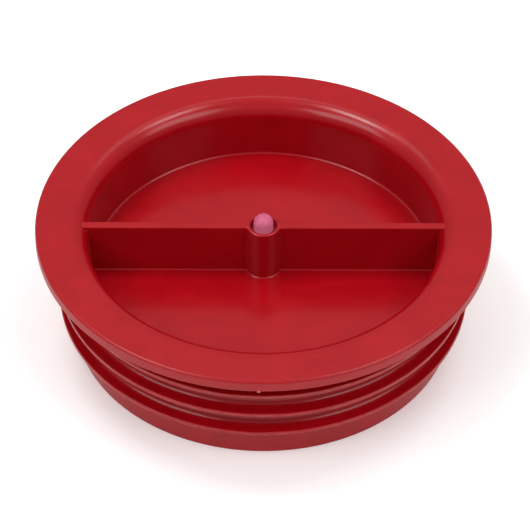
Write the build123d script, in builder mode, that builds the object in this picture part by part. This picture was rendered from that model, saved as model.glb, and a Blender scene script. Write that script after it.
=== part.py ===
from build123d import *
import os

# A push-in plug that closes the filling mouth of a water-filled barrier.
# It stands on its bottom rim: the origin is the centre of that rim, Z is the plug's axis
# and the grip bar runs along X. All sizes are in millimetres.

# Overall
rib_diameter = 136.0        # over the sealing ribs, which bite in the mouth
flange_overhang = 7.0       # how far the flange stands out past the ribs
body_height = 43.5          # bottom rim to the flange's top face
flange_thickness = 4.0
flange_top_round = 0.9
flange_under_round = 0.4

# Skirt with its sealing ribs
rib_count = 3
rib_height = 4.7            # from the skirt's wall to a rib's crest
rib_land = 1.5              # flat width of a crest
rib_pitch = 8.3
first_rib_depth = 13.75     # flange top to the middle of the first crest
rib_edge_round = 0.35
groove_round = 2.6          # where a rib or the flange meets the skirt
skirt_wall = 3.2
skirt_rim_round = 0.6
hollow_draft_step = 0.6     # how much narrower the hollow is at its top
hollow_round = 2.0

# Bowl in the top
bowl_wall = 5.2             # skirt's outside to the bowl's mouth
bowl_depth = 20.7
bowl_draft_step = 0.7       # how much narrower the bowl is at its floor
bowl_floor_round = 0.8
lip_round = 6.4
floor_thickness = 3.0

# Grip bar and centre post
bar_thickness = 3.0
bar_depth = 2.0             # flange top down to the bar's top edge
bar_bite = 3.2              # how far each end runs on into the bowl's wall
bar_side_round = 0.6        # upright corners where the bar's sides meet the post
bar_top_round = 0.5
post_rim_wall = 1.2         # from the ring recess out to the post's side

# Stepped hole down the post, and the vent plug that sits in it
vent_plug_diameter = 6.4
vent_plug_clearance = 0.05  # on the radius
vent_plug_proud = 4.0       # above the post's rim
vent_plug_foot_chamfer = 0.5
dome_flat = 0.2             # radius of the small flat left at the dome's top
recess_width = 1.15         # ring of space around the plug, inside the post's rim
recess_depth = 2.0
recess_rim_round = 0.4
socket_depth = 13.0         # post's rim down to the shoulder that the plug rests on
vent_hole_diameter = 3.0

# Gate vestige under the flange's front edge
vestige_length = 1.2
vestige_width = 0.7
vestige_height = 0.4
vestige_inset = 0.05
vestige_offset = -1.3       # along X, off the front's middle

# Heights and radii that follow
rib_radius = rib_diameter / 2
skirt_radius = rib_radius - rib_height
hollow_radius = skirt_radius - skirt_wall
flange_radius = rib_radius + flange_overhang
flange_underside = body_height - flange_thickness
bowl_radius = skirt_radius - bowl_wall
floor_radius = bowl_radius - bowl_draft_step
floor_top = body_height - bowl_depth
floor_middle = floor_top - floor_thickness / 2
hollow_top = floor_top - floor_thickness
bar_top = body_height - bar_depth
vent_plug_radius = vent_plug_diameter / 2
socket_radius = vent_plug_radius + vent_plug_clearance
recess_radius = vent_plug_radius + recess_width
post_radius = recess_radius + post_rim_wall
shoulder = bar_top - socket_depth
sliver = 0.01               # slack when corners and edges are picked by place

os.makedirs("parts", exist_ok=True)


def rib_outline(index):
    """The four outline corners of one rib, lowest first; index 0 is the rib next to the flange."""
    middle = body_height - first_rib_depth - index * rib_pitch
    below = middle - rib_land / 2
    above = middle + rib_land / 2
    return [(skirt_radius, below), (rib_radius, below), (rib_radius, above), (skirt_radius, above)]


def corners(section, radius, low, high):
    """Corners of a half section at one radius, between two heights."""
    at_radius = section.vertices().filter_by_position(Axis.X, radius - sliver, radius + sliver)
    return at_radius.filter_by_position(Axis.Y, low - sliver, high + sliver)


def is_rim(edge):
    """True for a top edge of the grip bar or the post, and not for one in the bowl's wall."""
    middle = edge.center()
    return abs(middle.Z - bar_top) < sliver and abs(middle.X) < floor_radius


# Half section of the bowl, skirt, ribs and flange, from the floor's underside round to its top
outline = [
    (0, hollow_top),
    (hollow_radius - hollow_draft_step, hollow_top),
    (hollow_radius, 0),
    (skirt_radius, 0),
]
for rib in reversed(range(rib_count)):
    outline += rib_outline(rib)
outline += [
    (skirt_radius, flange_underside),
    (flange_radius, flange_underside),
    (flange_radius, body_height),
    (bowl_radius, body_height),
    (floor_radius, floor_top),
    (0, floor_top),
]

with BuildPart() as plug_body:
    with BuildSketch(Plane.YZ) as section:
        with BuildLine():
            Polyline(*outline, close=True)
        make_face()
        fillet(corners(section, rib_radius, 0, flange_underside), rib_edge_round)
        fillet(corners(section, skirt_radius, skirt_rim_round, flange_underside), groove_round)
        fillet(corners(section, skirt_radius, 0, 0), skirt_rim_round)
        fillet(corners(section, hollow_radius, 0, 0), skirt_rim_round)
        fillet(corners(section, hollow_radius - hollow_draft_step, hollow_top, hollow_top), hollow_round)
        fillet(corners(section, flange_radius, flange_underside, flange_underside), flange_under_round)
        fillet(corners(section, flange_radius, body_height, body_height), flange_top_round)
        fillet(corners(section, bowl_radius, body_height, body_height), lip_round)
        fillet(corners(section, floor_radius, floor_top, floor_top), bowl_floor_round)
    revolve(axis=Axis.Z)

    # Grip bar and post: one plan raised from inside the floor, with the bar's ends run into the wall
    with BuildSketch(Plane.XY.offset(floor_middle)):
        Rectangle(2 * (bowl_radius + bar_bite), bar_thickness)
        Circle(post_radius)
    extrude(amount=bar_top - floor_middle)
    upright_edges = plug_body.edges().filter_by(Axis.Z)
    fillet(upright_edges.filter_by_position(Axis.X, -post_radius, post_radius), bar_side_round)
    fillet(plug_body.edges().filter_by(is_rim), bar_top_round)

    # Ring recess, socket and vent hole, one below the other down the post
    with Locations((0, 0, bar_top)):
        CounterBoreHole(socket_radius, recess_radius, recess_depth, socket_depth)
        Hole(vent_hole_diameter / 2, bar_top - hollow_top)
    top_circles = plug_body.edges().filter_by(GeomType.CIRCLE).filter_by(is_rim)
    fillet(top_circles.filter_by(lambda edge: abs(edge.radius - recess_radius) < sliver), recess_rim_round)

    # What is left of the moulding gate, a small web under the flange's edge
    vestige_middle = flange_radius - vestige_inset - vestige_width / 2
    with Locations((vestige_offset, -vestige_middle, flange_underside)):
        Box(vestige_length, vestige_width, 2 * vestige_height)
plug_body.part.label = "plug_body"
export_step(plug_body.part, "parts/plug_body.step")

# Vent plug: a soft pin with a domed head, pushed into the post until its foot meets the shoulder
with BuildPart() as vent_plug:
    with BuildSketch(Plane.XY.offset(shoulder)):
        Circle(vent_plug_radius)
    extrude(amount=socket_depth + vent_plug_proud)
    fillet(vent_plug.edges().group_by(Axis.Z)[-1], vent_plug_radius - dome_flat)
    chamfer(vent_plug.edges().group_by(Axis.Z)[0], vent_plug_foot_chamfer)
vent_plug.part.label = "vent_plug"
export_step(vent_plug.part, "parts/vent_plug.step")
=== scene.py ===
import math

import bpy
from mathutils import Matrix, Vector


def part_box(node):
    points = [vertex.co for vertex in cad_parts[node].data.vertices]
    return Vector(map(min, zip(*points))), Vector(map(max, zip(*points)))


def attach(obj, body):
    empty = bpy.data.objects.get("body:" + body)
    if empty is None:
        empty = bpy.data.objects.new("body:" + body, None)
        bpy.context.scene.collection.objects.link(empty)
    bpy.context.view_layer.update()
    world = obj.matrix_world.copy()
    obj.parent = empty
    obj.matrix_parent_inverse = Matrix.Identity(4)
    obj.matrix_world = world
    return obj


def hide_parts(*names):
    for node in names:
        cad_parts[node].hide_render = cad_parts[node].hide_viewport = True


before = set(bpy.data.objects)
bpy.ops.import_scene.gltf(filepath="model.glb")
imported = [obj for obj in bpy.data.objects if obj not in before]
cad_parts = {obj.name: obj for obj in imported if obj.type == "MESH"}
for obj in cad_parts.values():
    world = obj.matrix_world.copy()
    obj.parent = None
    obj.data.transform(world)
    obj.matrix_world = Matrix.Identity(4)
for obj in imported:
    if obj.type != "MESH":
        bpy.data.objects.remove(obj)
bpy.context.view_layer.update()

# Camera. The plug is looked down on from its front at a little over forty degrees, through a
# long lens, so its rings are nearly true ellipses. Distances are told in flange radii.
body_low, body_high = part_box("plug_body")
flange_radius = body_high.x
flange_top = body_high.z
camera_elevation = math.radians(43.18)
camera_roll = 0.0034
camera_distance = 14.0 * flange_radius
aim_right = 0.0072 * flange_radius
aim_down = 0.195 * flange_radius
right = Vector((1.0, 0.0, 0.0))
up = Vector((0.0, math.sin(camera_elevation), math.cos(camera_elevation)))
back = Vector((0.0, -math.cos(camera_elevation), math.sin(camera_elevation)))
lens = bpy.data.cameras.new("camera")
lens.sensor_width = 36.0
lens.lens = 217.2
camera = bpy.data.objects.new("camera", lens)
camera.location = aim_right * right - aim_down * up + camera_distance * back
camera.location.z += flange_top
turned = Matrix((right, up, back)).transposed() @ Matrix.Rotation(camera_roll, 3, "Z")
camera.rotation_euler = turned.to_euler()
bpy.context.scene.collection.objects.link(camera)
bpy.context.scene.camera = camera

# Table and light. A white acrylic table, faintly lit from below, stands in a white light tent
# that dims towards the horizon. A wide strip light and two small softboxes hang behind and above
# the plug, and two large softboxes in front of it on either side, the left ones a little stronger.
mm = 0.001
table_side = 12.0
table_grain = 0.6 * mm
table_glow = 0.17
tent_horizon = 0.25
tent_zenith = 0.6
tent_front_share = 0.9
# (place, width, depth, watts) of each softbox
softboxes = (
    ((0.0, 0.55, 0.95), 1.1, 0.2, 1.0),
    ((-0.32, 0.16, 0.93), 0.28, 0.2, 2.3),
    ((0.32, 0.16, 0.93), 0.28, 0.2, 1.5),
    ((-0.7, -0.46, 0.91), 0.75, 0.5, 4.6),
    ((0.7, -0.46, 0.91), 0.75, 0.5, 4.1),
)


def linear(hex_colour):
    """An sRGB hex colour as the linear RGBA that a shader takes."""
    shares = [int(hex_colour[place:place + 2], 16) / 255 for place in (0, 2, 4)]
    return [
        share / 12.92 if share <= 0.04045 else ((share + 0.055) / 1.055) ** 2.4 for share in shares
    ] + [1.0]


def new_material(name):
    """An empty material that uses nodes, and its shader."""
    material = bpy.data.materials.new(name)
    material.use_nodes = True
    return material, material.node_tree.nodes["Principled BSDF"]


def add_node(owner, kind, settings={}, links={}):
    """A new node in a material or a world, with its settings and the outputs linked to it."""
    node = owner.node_tree.nodes.new("ShaderNode" + kind)
    for name, value in settings.items():
        if isinstance(name, int) or name in node.inputs:
            node.inputs[name].default_value = value
        else:
            setattr(node, name, value)
    for name, output in links.items():
        owner.node_tree.links.new(output, node.inputs[name])
    return node


bpy.ops.object.select_all(action="DESELECT")
bpy.ops.mesh.primitive_plane_add(size=table_side)
table = bpy.context.object
table.name = "table"
acrylic, acrylic_shader = new_material("white_acrylic")
acrylic_place = add_node(acrylic, "TexCoord").outputs["Object"]
acrylic_grain = add_node(
    acrylic, "TexNoise", {"Scale": 1 / table_grain, "Detail": 2.0}, {"Vector": acrylic_place}
)
acrylic_bump = add_node(
    acrylic, "Bump",
    {"Strength": 0.2, "Distance": 0.01 * mm},
    {"Height": acrylic_grain.outputs["Fac"]},
)
acrylic_shader.inputs["Base Color"].default_value = (0.93, 0.93, 0.93, 1.0)
acrylic_shader.inputs["Roughness"].default_value = 0.9
acrylic_shader.inputs["Specular IOR Level"].default_value = 0.2
acrylic_shader.inputs["Emission Color"].default_value = (1.0, 1.0, 1.0, 1.0)
acrylic_shader.inputs["Emission Strength"].default_value = table_glow
acrylic.node_tree.links.new(acrylic_bump.outputs["Normal"], acrylic_shader.inputs["Normal"])
table.data.materials.append(acrylic)

tent = bpy.data.worlds.new("tent")
tent.use_nodes = True
tent_cloth = tent.node_tree.nodes["Background"]
tent_cloth.inputs["Color"].default_value = (1.0, 1.0, 1.0, 1.0)
tent_direction = add_node(tent, "TexCoord").outputs["Generated"]
tent_sides = add_node(tent, "SeparateXYZ", {}, {"Vector": tent_direction}).outputs
tent_upwards = add_node(
    tent, "MapRange",
    {"From Max": 0.7, "To Min": tent_horizon, "To Max": tent_zenith},
    {"Value": tent_sides["Z"]},
).outputs["Result"]
tent_backwards = add_node(
    tent, "MapRange",
    {"From Min": -0.5, "From Max": 0.3, "To Min": tent_front_share, "To Max": 1.0},
    {"Value": tent_sides["Y"]},
).outputs["Result"]
tent_brightness = add_node(
    tent, "Math", {"operation": "MULTIPLY"}, {0: tent_upwards, 1: tent_backwards}
).outputs["Value"]
tent.node_tree.links.new(tent_brightness, tent_cloth.inputs["Strength"])
bpy.context.scene.world = tent
bpy.context.scene.view_settings.view_transform = "Standard"
for softbox_place, softbox_width, softbox_depth, softbox_watts in softboxes:
    softbox = bpy.data.lights.new("softbox", "AREA")
    softbox.shape = "RECTANGLE"
    softbox.size = softbox_width
    softbox.size_y = softbox_depth
    softbox.energy = softbox_watts
    hung_softbox = bpy.data.objects.new("softbox", softbox)
    hung_softbox.location = softbox_place
    hung_softbox.rotation_euler = (-Vector(softbox_place)).to_track_quat("-Z", "Y").to_euler()
    bpy.context.scene.collection.objects.link(hung_softbox)

# Bowl, flange and ribbed skirt. They are the turned part of one injection moulding of red
# polyethylene. Its half section is drawn corner by corner, rounded as the mould is, and spun.
rib_radius = flange_radius - 7.0 * mm
skirt_radius = rib_radius - 4.7 * mm
hollow_radius = skirt_radius - 3.2 * mm
bowl_radius = skirt_radius - 5.2 * mm
bowl_draft_step = 0.7 * mm
floor_radius = bowl_radius - bowl_draft_step
floor_margin = 3.0 * mm
floor_round = 0.8 * mm
lip_round = 6.4 * mm
flange_top_round = 0.9 * mm
flange_under_round = 0.4 * mm
floor_top = flange_top - 20.7 * mm
hollow_top = floor_top - 3.0 * mm
hollow_draft_step = 0.6 * mm
hollow_margin = 4.0 * mm
hollow_round = 2.0 * mm
flange_underside = flange_top - 4.0 * mm
first_rib = flange_top - 13.75 * mm
rib_pitch = 8.3 * mm
rib_land = 1.5 * mm
groove_round = 2.6 * mm
rib_edge_round = 0.35 * mm
skirt_rim_round = 0.6 * mm
spin_steps = 288
tiny = 0.01 * mm


def start_at(name, place):
    """A new piece that is a single point, left in edit mode with that point selected."""
    bpy.ops.object.select_all(action="DESELECT")
    bpy.ops.mesh.primitive_plane_add(size=mm)
    piece = bpy.context.object
    piece.name = name
    bpy.ops.object.mode_set(mode="EDIT")
    bpy.ops.mesh.select_mode(type="VERT")
    bpy.ops.mesh.merge(type="CENTER")
    bpy.ops.transform.translate(value=place)
    return piece


def draw_line(places):
    """Extrudes the selected point from the first place on to each of the others."""
    for here, there in zip(places, places[1:]):
        step = Vector(there) - Vector(here)
        bpy.ops.mesh.extrude_region_move(TRANSFORM_OT_translate={"value": step})


def pick_points(piece, wanted):
    """Selects the points of the piece whose place is wanted, and leaves it in edit mode."""
    bpy.ops.object.mode_set(mode="EDIT")
    bpy.ops.mesh.select_mode(type="VERT")
    bpy.ops.mesh.select_all(action="DESELECT")
    bpy.ops.object.mode_set(mode="OBJECT")
    for point in piece.data.vertices:
        point.select = wanted(point.co)
    bpy.ops.object.mode_set(mode="EDIT")


def close_normals():
    """Points every face of the piece in edit mode outwards."""
    bpy.ops.mesh.select_all(action="SELECT")
    bpy.ops.mesh.normals_make_consistent(inside=False)


# (radius, height, rounding) of the corners, from the bowl's floor over the lip and down outside
section = [
    (floor_radius - floor_margin, floor_top, 0.0),
    (floor_radius, floor_top, floor_round),
    (bowl_radius, flange_top, lip_round),
    (flange_radius, flange_top, flange_top_round),
    (flange_radius, flange_underside, flange_under_round),
    (skirt_radius, flange_underside, groove_round),
]
for rib in range(3):
    rib_middle = first_rib - rib * rib_pitch
    section += [
        (skirt_radius, rib_middle + rib_land / 2, groove_round),
        (rib_radius, rib_middle + rib_land / 2, rib_edge_round),
        (rib_radius, rib_middle - rib_land / 2, rib_edge_round),
        (skirt_radius, rib_middle - rib_land / 2, groove_round),
    ]
section += [
    (skirt_radius, 0.0, skirt_rim_round),
    (hollow_radius, 0.0, skirt_rim_round),
    (hollow_radius - hollow_draft_step, hollow_top, hollow_round),
    (hollow_radius - hollow_margin, hollow_top, 0.0),
]
corners = [Vector((radius, 0.0, height)) for radius, height, rounding in section]
moulding = start_at("plug_moulding", corners[0])
draw_line(corners)
for index in range(1, len(corners) - 1):
    rounding = section[index][2]
    turn = (corners[index] - corners[index - 1]).angle(corners[index + 1] - corners[index])
    pick_points(moulding, lambda place: (place - corners[index]).length < tiny)
    bpy.ops.mesh.bevel(
        offset=rounding * math.tan(turn / 2),
        segments=max(4, round(3 * rounding / mm)),
        affect="VERTICES",
        clamp_overlap=False,
    )
bpy.ops.mesh.select_all(action="SELECT")
bpy.ops.mesh.spin(steps=spin_steps, angle=math.tau, center=(0, 0, 0), axis=(0, 0, 1))
for rim in (corners[0], corners[-1]):
    pick_points(
        moulding,
        lambda place: abs(place.z - rim.z) < tiny and place.xy.length < rim.x + tiny,
    )
    bpy.ops.mesh.edge_face_add()
close_normals()
bpy.ops.object.mode_set(mode="OBJECT")

# Grip bar and post, moulded with the bowl. The plan of one quarter is drawn, mirrored, raised
# from inside the floor, rounded along its top and joined on; small radii run round its foot.
bar_half_thickness = 1.5 * mm
bar_end = bowl_radius + 3.2 * mm
bar_top = flange_top - 2.0 * mm
bar_top_round = 0.5 * mm
foot_round = 0.6 * mm
post_radius = 5.55 * mm
grip_foot = floor_top - 1.5 * mm
foot_end_margin = 1.0 * mm
side_arc_radius = post_radius + foot_round
side_arc_turn = math.acos((bar_half_thickness + foot_round) / side_arc_radius)
side_arc_x = side_arc_radius * math.sin(side_arc_turn)
side_arc_centre = (side_arc_x, bar_half_thickness + foot_round, grip_foot)


def apply_modifier(piece, kind, settings):
    """Adds a modifier of this kind to the piece, with its settings, and applies it."""
    bpy.ops.object.select_all(action="DESELECT")
    bpy.context.view_layer.objects.active = piece
    piece.select_set(True)
    modifier = piece.modifiers.new(kind, kind)
    for name, value in settings.items():
        setattr(modifier, name, value)
    bpy.ops.object.modifier_apply(modifier=modifier.name)


def combine(piece, other, operation):
    """Joins the other piece to this one or cuts it out, and deletes the other."""
    apply_modifier(piece, "BOOLEAN", {"operation": operation, "solver": "EXACT", "object": other})
    bpy.data.objects.remove(other)


def pick_edges(piece, wanted):
    """Selects the edges of the piece whose middle is wanted, and leaves it in edit mode."""
    bpy.ops.object.mode_set(mode="EDIT")
    bpy.ops.mesh.select_mode(type="EDGE")
    bpy.ops.mesh.select_all(action="DESELECT")
    bpy.ops.object.mode_set(mode="OBJECT")
    points = piece.data.vertices
    for edge in piece.data.edges:
        first, second = edge.vertices
        edge.select = wanted((points[first].co + points[second].co) / 2)
    bpy.ops.object.mode_set(mode="EDIT")


grip = start_at("grip", (0.0, post_radius, grip_foot))
bpy.ops.mesh.spin(steps=16, angle=side_arc_turn, center=(0, 0, grip_foot), axis=(0, 0, 1))
bpy.ops.mesh.spin(steps=5, angle=-side_arc_turn, center=side_arc_centre, axis=(0, 0, 1))
draw_line([
    (side_arc_x, bar_half_thickness, grip_foot),
    (bar_end, bar_half_thickness, grip_foot),
    (bar_end, 0.0, grip_foot),
])
bpy.ops.object.mode_set(mode="OBJECT")
apply_modifier(grip, "MIRROR", {"use_axis": (True, True, False), "merge_threshold": tiny})
bpy.ops.object.mode_set(mode="EDIT")
bpy.ops.mesh.select_all(action="SELECT")
bpy.ops.mesh.edge_face_add()
bpy.ops.mesh.extrude_region_move(TRANSFORM_OT_translate={"value": (0, 0, bar_top - grip_foot)})
close_normals()
pick_edges(grip, lambda middle: middle.z > bar_top - tiny)
bpy.ops.mesh.bevel(offset=bar_top_round, segments=4, affect="EDGES", clamp_overlap=False)
bpy.ops.object.mode_set(mode="OBJECT")
combine(moulding, grip, "UNION")
bpy.ops.object.mode_set(mode="EDIT")
bpy.ops.mesh.select_mode(type="EDGE")
bpy.ops.mesh.select_all(action="DESELECT")
bpy.ops.mesh.edges_select_sharp(sharpness=math.radians(30))
bpy.ops.object.mode_set(mode="OBJECT")
for edge in moulding.data.edges:
    edge_end = moulding.data.vertices[edge.vertices[0]].co
    edge.select = edge.select and edge_end.z < bar_top - foot_end_margin
bpy.ops.object.mode_set(mode="EDIT")
bpy.ops.mesh.bevel(offset=foot_round, segments=4, affect="EDGES", clamp_overlap=False)
bpy.ops.object.mode_set(mode="OBJECT")

# Stepped hole down the post: a ring recess round the vent plug, the socket that holds its stem,
# and a vent hole through the floor. A turned cutter of that shape is taken out of the post.
vent_low, vent_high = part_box("vent_plug")
vent_radius = vent_high.x
recess_radius = vent_radius + 1.15 * mm
recess_floor = bar_top - 2.0 * mm
recess_round = 0.4 * mm
socket_radius = vent_radius + 0.05 * mm
vent_hole_radius = 1.5 * mm
drill_overrun = 1.0 * mm
drill_line = [
    Vector((0.0, 0.0, bar_top + drill_overrun)),
    Vector((recess_radius, 0.0, bar_top + drill_overrun)),
    Vector((recess_radius, 0.0, recess_floor)),
    Vector((socket_radius, 0.0, recess_floor)),
    Vector((socket_radius, 0.0, vent_low.z)),
    Vector((vent_hole_radius, 0.0, vent_low.z)),
    Vector((vent_hole_radius, 0.0, hollow_top - drill_overrun)),
    Vector((0.0, 0.0, hollow_top - drill_overrun)),
]
drill = start_at("drill", drill_line[0])
draw_line(drill_line)
bpy.ops.mesh.select_all(action="SELECT")
bpy.ops.mesh.spin(steps=72, angle=math.tau, center=(0, 0, 0), axis=(0, 0, 1))
bpy.ops.mesh.select_all(action="SELECT")
bpy.ops.mesh.remove_doubles(threshold=tiny)
close_normals()
bpy.ops.object.mode_set(mode="OBJECT")
combine(moulding, drill, "DIFFERENCE")
pick_edges(
    moulding,
    lambda middle: (
        abs(middle.z - bar_top) < tiny and abs(middle.xy.length - recess_radius) < 5 * tiny
    ),
)
bpy.ops.mesh.bevel(offset=recess_round, segments=4, affect="EDGES", clamp_overlap=False)
bpy.ops.object.mode_set(mode="OBJECT")

# Gate vestige: the stub left under the flange's front edge where the moulding was broken off
# its runner. It is a block about a millimetre across with rounded edges, joined to the moulding.
gate_size = Vector((1.2, 0.7, 0.8)) * mm
gate_edge_round = 0.12 * mm
gate_middle = Vector((-1.3 * mm, gate_size.y / 2 + 0.05 * mm - flange_radius, flange_underside))
bpy.ops.object.select_all(action="DESELECT")
bpy.ops.mesh.primitive_cube_add(size=1.0)
gate = bpy.context.object
gate.name = "gate"
bpy.ops.object.mode_set(mode="EDIT")
bpy.ops.transform.resize(value=gate_size)
bpy.ops.transform.translate(value=gate_middle)
bpy.ops.mesh.bevel(offset=gate_edge_round, segments=2, affect="EDGES")
bpy.ops.object.mode_set(mode="OBJECT")
combine(moulding, gate, "UNION")
bpy.ops.object.mode_set(mode="EDIT")
bpy.ops.mesh.select_all(action="SELECT")
bpy.ops.mesh.remove_doubles(threshold=tiny / 10)
close_normals()
bpy.ops.object.mode_set(mode="OBJECT")
bpy.ops.object.select_all(action="DESELECT")
moulding.select_set(True)
bpy.context.view_layer.objects.active = moulding
bpy.ops.object.shade_smooth_by_angle(angle=math.radians(35))
apply_modifier(moulding, "WEIGHTED_NORMAL", {"keep_sharp": True})

# Skin of the moulding: polished red polyethylene. Pigment lies in it in faint swirls and
# specks, the skin has a slight orange peel, and the rib crests carry pale scuffs and painted
# highlight.
swirl_size = 24.0 * mm
mottle_size = 0.9 * mm
peel_size = 2.2 * mm
scuff_and_sheen_length = 7.0 * mm
speck_pitch = 5.5 * mm
red_dark = linear("98040f")
red_light = linear("a30613")
# pale red for the scuff wear and painted highlight on the rib crests, and for the specks
red_pale = linear("b8514d")
red_stressed = linear("eeb4ac")
polyethylene, skin = new_material("moulded_polyethylene_red")
skin_place = add_node(polyethylene, "TexCoord").outputs["Object"]
swirls = add_node(
    polyethylene, "TexNoise",
    {"Scale": 1 / swirl_size, "Detail": 3.0, "Roughness": 0.45, "Distortion": 1.8},
    {"Vector": skin_place},
).outputs["Fac"]
mottle = add_node(
    polyethylene, "TexNoise", {"Scale": 1 / mottle_size, "Detail": 3.0}, {"Vector": skin_place}
).outputs["Fac"]
pigment = add_node(
    polyethylene, "Math", {"operation": "MULTIPLY_ADD", 1: 0.35}, {0: mottle, 2: swirls}
).outputs["Value"]
pigment_share = add_node(
    polyethylene, "MapRange", {"From Min": 0.45, "From Max": 0.9}, {"Value": pigment}
).outputs["Result"]
skin_colour = add_node(
    polyethylene, "MixRGB", {"Color1": red_dark, "Color2": red_light}, {"Fac": pigment_share}
).outputs["Color"]
from_axis = add_node(
    polyethylene, "VectorMath", {"operation": "MULTIPLY", 1: (1.0, 1.0, 0.0)}, {0: skin_place}
).outputs["Vector"]
distance_out = add_node(
    polyethylene, "VectorMath", {"operation": "LENGTH"}, {0: from_axis}
).outputs["Value"]
height = add_node(polyethylene, "SeparateXYZ", {}, {"Vector": skin_place}).outputs["Z"]
# Scuffs and painted highlight: pale patches only on the crests of the ribs, below the flange
on_crest = add_node(
    polyethylene, "MapRange",
    {"From Min": rib_radius - 0.4 * mm, "From Max": rib_radius - 0.05 * mm},
    {"Value": distance_out},
).outputs["Result"]
under_flange = add_node(
    polyethylene, "MapRange",
    {"From Min": first_rib + 2.0 * mm, "From Max": first_rib + 1.5 * mm},
    {"Value": height},
).outputs["Result"]
along_ribs = add_node(
    polyethylene, "VectorMath", {"operation": "MULTIPLY", 1: (1.0, 1.0, 6.0)}, {0: skin_place}
).outputs["Vector"]
scuff_and_sheen_grain = add_node(
    polyethylene, "TexNoise",
    {"Scale": 1 / scuff_and_sheen_length, "Detail": 4.0, "Roughness": 0.55},
    {"Vector": along_ribs},
).outputs["Fac"]
scuff_and_sheen_patches = add_node(
    polyethylene, "MapRange",
    {"From Min": 0.35, "From Max": 0.75, "To Max": 0.35},
    {"Value": scuff_and_sheen_grain},
).outputs["Result"]
crest_below = add_node(
    polyethylene, "Math", {"operation": "MULTIPLY"}, {0: on_crest, 1: under_flange}
).outputs["Value"]
scuffs_and_sheen = add_node(
    polyethylene, "Math", {"operation": "MULTIPLY"}, {0: crest_below, 1: scuff_and_sheen_patches}
).outputs["Value"]
# painted highlight and scuff wear: the crest patches are mixed towards pale red
scuffed_and_sheen_colour = add_node(
    polyethylene, "MixRGB", {"Color2": red_pale}, {"Fac": scuffs_and_sheen, "Color1": skin_colour}
).outputs["Color"]
# Specks of pale dust and unmixed resin, a few tenths of a millimetre across
speck_cells = add_node(
    polyethylene, "TexVoronoi",
    {"Scale": 1 / speck_pitch, "Randomness": 1.0},
    {"Vector": skin_place},
).outputs["Distance"]
specks = add_node(
    polyethylene, "MapRange",
    {"From Min": 0.045, "From Max": 0.02, "To Max": 0.45},
    {"Value": speck_cells},
).outputs["Result"]
specked_colour = add_node(
    polyethylene, "MixRGB", {"Color2": red_pale}, {"Fac": specks, "Color1": scuffed_and_sheen_colour}
).outputs["Color"]
# Stress whitening round the broken gate
torn_place = gate_middle - Vector((0, 0, 0.2 * mm))
from_gate = add_node(
    polyethylene, "VectorMath", {"operation": "DISTANCE", 1: torn_place}, {0: skin_place}
).outputs["Value"]
whitening = add_node(
    polyethylene, "MapRange",
    {"From Min": 0.7 * mm, "From Max": 0.35 * mm, "To Max": 0.5},
    {"Value": from_gate},
).outputs["Result"]
whitened_colour = add_node(
    polyethylene, "MixRGB", {"Color2": red_stressed}, {"Fac": whitening, "Color1": specked_colour}
).outputs["Color"]
# Polish: glossy in the bowl and on the flange, duller on scuffs and along the flange's edge
polish = add_node(
    polyethylene, "MapRange",
    {"From Min": 0.3, "From Max": 0.7, "To Min": 0.19, "To Max": 0.23},
    {"Value": swirls},
).outputs["Result"]
worn_polish = add_node(
    polyethylene, "Math", {"operation": "MULTIPLY_ADD", 1: 0.4}, {0: scuffs_and_sheen, 2: polish}
).outputs["Value"]
flange_edge = add_node(
    polyethylene, "MapRange",
    {"From Min": flange_radius - 0.8 * mm, "From Max": flange_radius - 0.1 * mm, "To Max": 0.22},
    {"Value": distance_out},
).outputs["Result"]
dullness = add_node(
    polyethylene, "Math", {"operation": "ADD"}, {0: worn_polish, 1: flange_edge}
).outputs["Value"]
# Orange peel, and the finer grain of the mould's steel
peel = add_node(
    polyethylene, "TexNoise", {"Scale": 1 / peel_size, "Detail": 1.0}, {"Vector": skin_place}
).outputs["Fac"]
peel_bump = add_node(
    polyethylene, "Bump", {"Strength": 0.5, "Distance": 0.012 * mm}, {"Height": peel}
).outputs["Normal"]
grain_bump = add_node(
    polyethylene, "Bump",
    {"Strength": 0.3, "Distance": 0.006 * mm},
    {"Height": mottle, "Normal": peel_bump},
).outputs["Normal"]
skin.inputs["IOR"].default_value = 1.5
skin.inputs["Specular IOR Level"].default_value = 0.32
polyethylene.node_tree.links.new(whitened_colour, skin.inputs["Base Color"])
polyethylene.node_tree.links.new(dullness, skin.inputs["Roughness"])
polyethylene.node_tree.links.new(grain_bump, skin.inputs["Normal"])
moulding.data.materials.clear()
moulding.data.materials.append(polyethylene)
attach(moulding, "plug")
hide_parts("plug_body")
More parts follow.
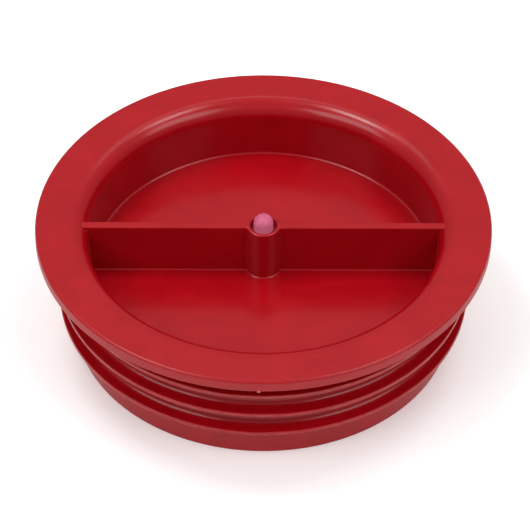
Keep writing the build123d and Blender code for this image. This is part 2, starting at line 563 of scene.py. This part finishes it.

# Vent plug: a soft pink pin with a domed head, cast in translucent vinyl and pushed down the
# post. Painted shade darkens its dome and painted light brightens its sides, and it holds dust.
# painted light on the sides and painted shade on the dome, evening out the light that falls
# brightest on the dome
pink_side_painted_light = linear("ff98b8")
pink_dome_painted_shade = linear("bb4c70")
dust = linear("f2b6c8")
dust_size = 0.35 * mm
soft_peel_size = 1.1 * mm
vinyl, pin_skin = new_material("soft_vinyl_pink")
pin_place = add_node(vinyl, "TexCoord").outputs["Object"]
pin_height = add_node(vinyl, "SeparateXYZ", {}, {"Vector": pin_place}).outputs["Z"]
# painted shading: darker towards the top of the dome, lighter down the sides
dome_shade_share = add_node(
    vinyl, "MapRange", {"From Min": recess_floor, "From Max": vent_high.z}, {"Value": pin_height}
).outputs["Result"]
pin_shaded_colour = add_node(
    vinyl, "MixRGB", {"Color1": pink_side_painted_light, "Color2": pink_dome_painted_shade}, {"Fac": dome_shade_share}
).outputs["Color"]
dust_grain = add_node(
    vinyl, "TexNoise", {"Scale": 1 / dust_size, "Detail": 2.0}, {"Vector": pin_place}
).outputs["Fac"]
dust_share = add_node(
    vinyl, "MapRange", {"From Min": 0.55, "From Max": 0.75, "To Max": 0.3}, {"Value": dust_grain}
).outputs["Result"]
dusty_colour = add_node(
    vinyl, "MixRGB", {"Color2": dust}, {"Fac": dust_share, "Color1": pin_shaded_colour}
).outputs["Color"]
pin_dullness = add_node(
    vinyl, "MapRange",
    {"From Min": 0.4, "From Max": 0.7, "To Min": 0.32, "To Max": 0.5},
    {"Value": dust_grain},
).outputs["Result"]
soft_peel = add_node(
    vinyl, "TexNoise", {"Scale": 1 / soft_peel_size, "Detail": 2.0}, {"Vector": pin_place}
).outputs["Fac"]
soft_bump = add_node(
    vinyl, "Bump", {"Strength": 0.5, "Distance": 0.03 * mm}, {"Height": soft_peel}
).outputs["Normal"]
pin_skin.inputs["IOR"].default_value = 1.45
pin_skin.inputs["Subsurface Weight"].default_value = 0.5
pin_skin.inputs["Subsurface Radius"].default_value = (1.0, 0.35, 0.45)
pin_skin.inputs["Subsurface Scale"].default_value = 2.0 * mm
vinyl.node_tree.links.new(dusty_colour, pin_skin.inputs["Base Color"])
vinyl.node_tree.links.new(pin_dullness, pin_skin.inputs["Roughness"])
vinyl.node_tree.links.new(soft_bump, pin_skin.inputs["Normal"])
vent_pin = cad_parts["vent_plug"]
vent_pin.data.materials.clear()
vent_pin.data.materials.append(vinyl)
